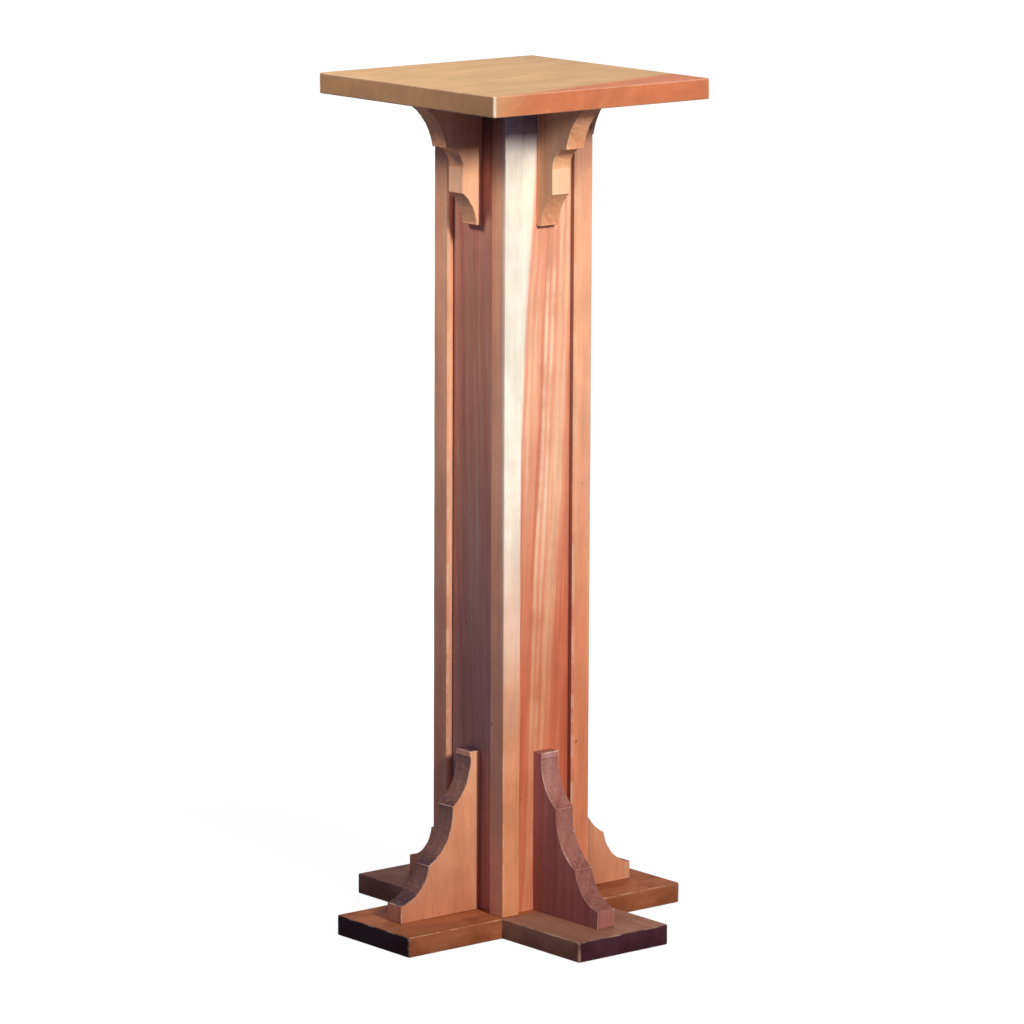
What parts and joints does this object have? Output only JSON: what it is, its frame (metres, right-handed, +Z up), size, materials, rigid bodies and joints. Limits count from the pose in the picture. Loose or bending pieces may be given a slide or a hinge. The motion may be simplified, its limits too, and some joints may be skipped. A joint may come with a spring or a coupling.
{
  "type": "pedestal column stand",
  "caption": "Tall square wooden pedestal: panelled column on a cross base with scalloped foot brackets, and scalloped corbels under a square top.",
  "frame": {"origin": "on the floor under the column's centre", "axes": "+Z up along the column; +X and +Y along the base arms, square to the column's faces"},
  "size_m": [0.378, 0.378, 0.914],
  "materials": {
    "top_wood": "oiled, satin",
    "post_wood": "oiled, satin",
    "panel_wood": "oiled, satin",
    "bracket_wood": "oiled, sawn curves left matt",
    "base_wood": "oiled, satin",
    "inner_wood": "bare",
    "screw_steel": "zinc plated"
  },
  "bodies": {
    "root": {"base_board_lower": "base_wood", "base_board_upper": "base_wood", "base_screw_1": "screw_steel", "base_screw_2": "screw_steel", "base_screw_3": "screw_steel", "base_screw_4": "screw_steel", "bottom_block": "inner_wood", "corbel_back": "bracket_wood", "corbel_dowel_back_1": "inner_wood", "corbel_dowel_back_2": "inner_wood", "corbel_dowel_front_1": "inner_wood", "corbel_dowel_front_2": "inner_wood", "corbel_dowel_left_1": "inner_wood", "corbel_dowel_left_2": "inner_wood", "corbel_dowel_right_1": "inner_wood", "corbel_dowel_right_2": "inner_wood", "corbel_front": "bracket_wood", "corbel_left": "bracket_wood", "corbel_right": "bracket_wood", "corner_post_back_left": "post_wood", "corner_post_back_right": "post_wood", "corner_post_front_left": "post_wood", "corner_post_front_right": "post_wood", "foot_bracket_back": "bracket_wood", "foot_bracket_front": "bracket_wood", "foot_bracket_left": "bracket_wood", "foot_bracket_right": "bracket_wood", "foot_dowel_back_1": "inner_wood", "foot_dowel_back_2": "inner_wood", "foot_dowel_front_1": "inner_wood", "foot_dowel_front_2": "inner_wood", "foot_dowel_left_1": "inner_wood", "foot_dowel_left_2": "inner_wood", "foot_dowel_right_1": "inner_wood", "foot_dowel_right_2": "inner_wood", "foot_screw_back_1": "screw_steel", "foot_screw_back_2": "screw_steel", "foot_screw_front_1": "screw_steel", "foot_screw_front_2": "screw_steel", "foot_screw_left_1": "screw_steel", "foot_screw_left_2": "screw_steel", "foot_screw_right_1": "screw_steel", "foot_screw_right_2": "screw_steel", "panel_back": "panel_wood", "panel_front": "panel_wood", "panel_left": "panel_wood", "panel_right": "panel_wood", "top_block": "inner_wood", "top_board": "top_wood", "top_dowel_back": "inner_wood", "top_dowel_front": "inner_wood", "top_dowel_left": "inner_wood", "top_dowel_right": "inner_wood", "top_screw_1": "screw_steel", "top_screw_2": "screw_steel", "top_screw_3": "screw_steel", "top_screw_4": "screw_steel"}
  },
  "joints": []
}
